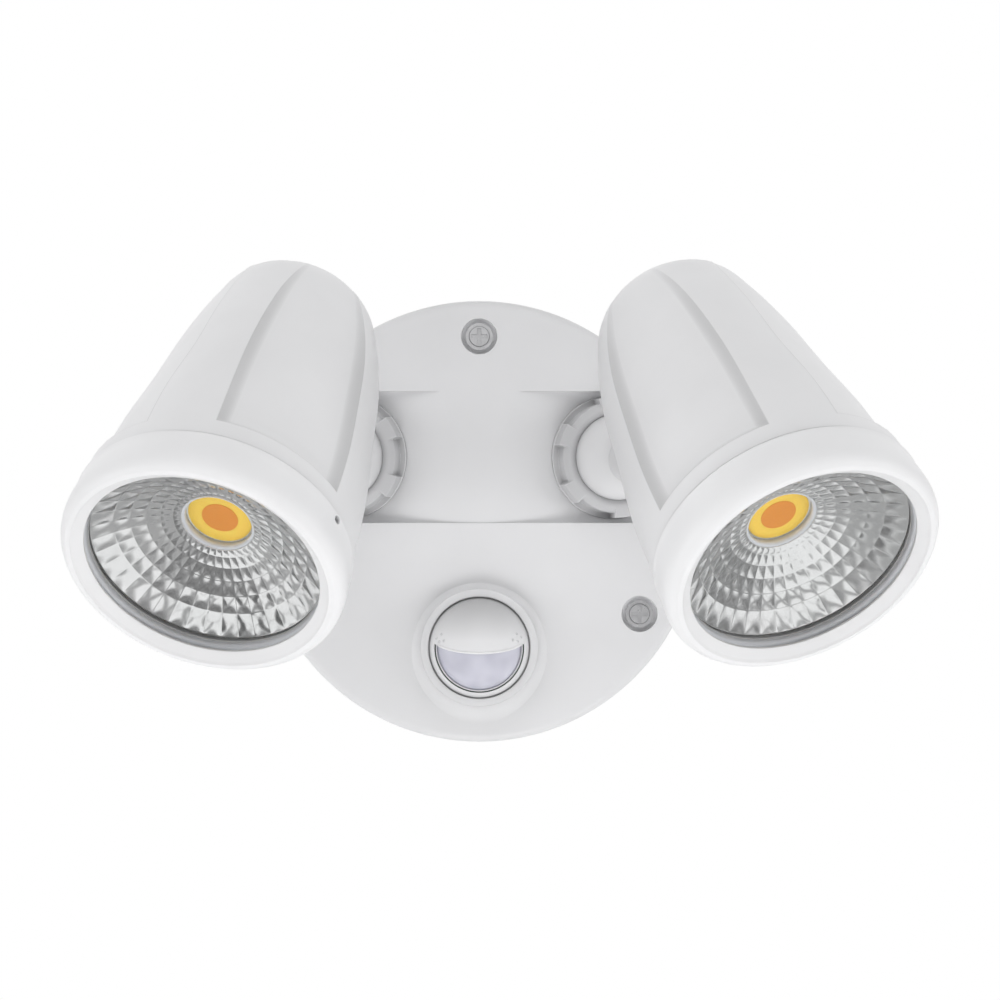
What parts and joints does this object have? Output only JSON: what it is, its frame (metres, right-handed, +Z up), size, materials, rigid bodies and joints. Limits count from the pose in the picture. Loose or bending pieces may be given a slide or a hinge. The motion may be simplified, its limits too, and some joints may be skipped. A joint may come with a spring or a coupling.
{
  "type": "motion sensor security light",
  "caption": "Twin-head outdoor security light with a round wall base, an eyeball motion sensor and two bullet-shaped LED spot heads on ball joints.",
  "frame": {"origin": "centre of the base's back face, on the wall", "axes": "+Y into the wall, +Z up, +X to the right as seen by someone facing the light"},
  "size_m": [0.2577, 0.1868, 0.1498],
  "materials": {
    "housing_white": "satin moulded, fine texture",
    "head_white": "white powder-coated die casting, satin",
    "bezel_white": "white powder-coated ring, satin",
    "arm_white": "white powder-coated, satin",
    "nut_white": "satin moulded",
    "nylon_white": "natural nylon",
    "plate_grey": "satin moulded",
    "dial_grey": "satin moulded",
    "terminal_white": "satin moulded",
    "component_black": "matte",
    "circuit_green": "solder-masked board",
    "foam_black": "closed-cell foam",
    "rubber_black": "matte rubber",
    "seal_grey": "grey silicone seal",
    "screw_steel": "zinc plated",
    "spring_steel": "oiled spring steel",
    "brass": "bright",
    "sensor_lens": "frosted translucent lens",
    "sensor_can": "bright can",
    "clear_glass": "clear toughened glass",
    "reflector_chrome": "faceted vacuum metallised",
    "holder_white": "satin moulded",
    "led_ceramic": "matte ceramic",
    "phosphor_yellow": "silicone phosphor",
    "phosphor_orange": "silicone phosphor",
    "heat_aluminium": "milled"
  },
  "bodies": {
    "base": {"wall_plate": "plate_grey", "wall_foam": "foam_black", "cover_seal": "rubber_black", "cable_grommet": "rubber_black", "front_cover": "housing_white", "cover_screws": "screw_steel", "driver_board": "circuit_green", "driver_parts": "component_black", "driver_screws": "screw_steel", "terminal_block": "terminal_white", "terminal_screws": "brass", "dial_board": "circuit_green", "trimmers": "component_black", "sensor_retainer": "nylon_white", "retainer_screws": "screw_steel", "left_socket_seal": "rubber_black", "right_socket_seal": "rubber_black"},
    "sensor_ring": {"sensor_grip_ring": "nylon_white"},
    "sensor_eye": {"sensor_ball": "housing_white", "sensor_lens": "sensor_lens", "sensor_board": "circuit_green", "pyro_sensor": "sensor_can"},
    "time_dial": {"time_dial": "dial_grey"},
    "light_dial": {"light_dial": "dial_grey"},
    "left_nut": {"left_lock_nut": "nut_white"},
    "left_swivel": {"left_grip_ring": "nylon_white"},
    "left_arm": {"left_ball_arm": "arm_white", "left_arm_ring": "rubber_black", "left_arm_clip": "spring_steel"},
    "left_head": {"left_head_body": "head_white", "left_arm_lock_screw": "screw_steel", "left_bezel": "bezel_white", "left_bezel_grub_screw": "screw_steel", "left_front_glass": "clear_glass", "left_glass_gasket": "seal_grey", "left_reflector": "reflector_chrome", "left_led_holder": "holder_white", "left_led_board": "led_ceramic", "left_led_emitter": "phosphor_yellow", "left_led_core": "phosphor_orange", "left_led_screws": "screw_steel", "left_heat_plate": "heat_aluminium"},
    "right_nut": {"right_lock_nut": "nut_white"},
    "right_swivel": {"right_grip_ring": "nylon_white"},
    "right_arm": {"right_ball_arm": "arm_white", "right_arm_ring": "rubber_black", "right_arm_clip": "spring_steel"},
    "right_head": {"right_head_body": "head_white", "right_arm_lock_screw": "screw_steel", "right_bezel": "bezel_white", "right_bezel_grub_screw": "screw_steel", "right_front_glass": "clear_glass", "right_glass_gasket": "seal_grey", "right_reflector": "reflector_chrome", "right_led_holder": "holder_white", "right_led_board": "led_ceramic", "right_led_emitter": "phosphor_yellow", "right_led_core": "phosphor_orange", "right_led_screws": "screw_steel", "right_heat_plate": "heat_aluminium"}
  },
  "joints": [
    {"name": "sensor_turn", "type": "hinge", "parent": "base", "child": "sensor_ring", "pos_m": [0, -0.033, -0.0399], "axis": [0, -1, 0], "range_deg": [-40, 40]},
    {"name": "sensor_tilt", "type": "hinge", "parent": "sensor_ring", "child": "sensor_eye", "pos_m": [0, -0.033, -0.0399], "axis": [1, 0, 0], "range_deg": [-12, 12]},
    {"name": "time_dial_turn", "type": "hinge", "parent": "base", "child": "time_dial", "pos_m": [-0.01, -0.015, -0.066], "axis": [0, 0, -1], "range_deg": [-150, 150]},
    {"name": "light_dial_turn", "type": "hinge", "parent": "base", "child": "light_dial", "pos_m": [0.01, -0.015, -0.066], "axis": [0, 0, -1], "range_deg": [-150, 150]},
    {"name": "left_nut_turn", "type": "hinge", "parent": "base", "child": "left_nut", "pos_m": [-0.0428, -0.0305, 0.0204], "axis": [-0.2079, -0.9781, 0], "range_deg": [0, 90]},
    {"name": "left_swivel", "type": "hinge", "parent": "base", "child": "left_swivel", "pos_m": [-0.0428, -0.0305, 0.0204], "axis": [0.2079, 0.9781, 0], "range_deg": [-60, 25]},
    {"name": "left_tilt", "type": "hinge", "parent": "left_swivel", "child": "left_arm", "pos_m": [-0.0428, -0.0305, 0.0204], "axis": [0.9781, -0.2079, 0], "range_deg": [-20, 20]},
    {"name": "left_head_turn", "type": "hinge", "parent": "left_arm", "child": "left_head", "pos_m": [-0.0428, -0.0305, 0.0204], "axis": [0.2837, 0.9563, 0.0706], "range_deg": [-60, 15]},
    {"name": "right_nut_turn", "type": "hinge", "parent": "base", "child": "right_nut", "pos_m": [0.0428, -0.0305, 0.0204], "axis": [0.2079, -0.9781, 0], "range_deg": [0, 90]},
    {"name": "right_swivel", "type": "hinge", "parent": "base", "child": "right_swivel", "pos_m": [0.0428, -0.0305, 0.0204], "axis": [0.2079, -0.9781, 0], "range_deg": [-60, 25]},
    {"name": "right_tilt", "type": "hinge", "parent": "right_swivel", "child": "right_arm", "pos_m": [0.0428, -0.0305, 0.0204], "axis": [0.9781, 0.2079, 0], "range_deg": [-20, 20]},
    {"name": "right_head_turn", "type": "hinge", "parent": "right_arm", "child": "right_head", "pos_m": [0.0428, -0.0305, 0.0204], "axis": [0.3826, -0.9218, -0.0628], "range_deg": [-60, 15]}
  ]
}
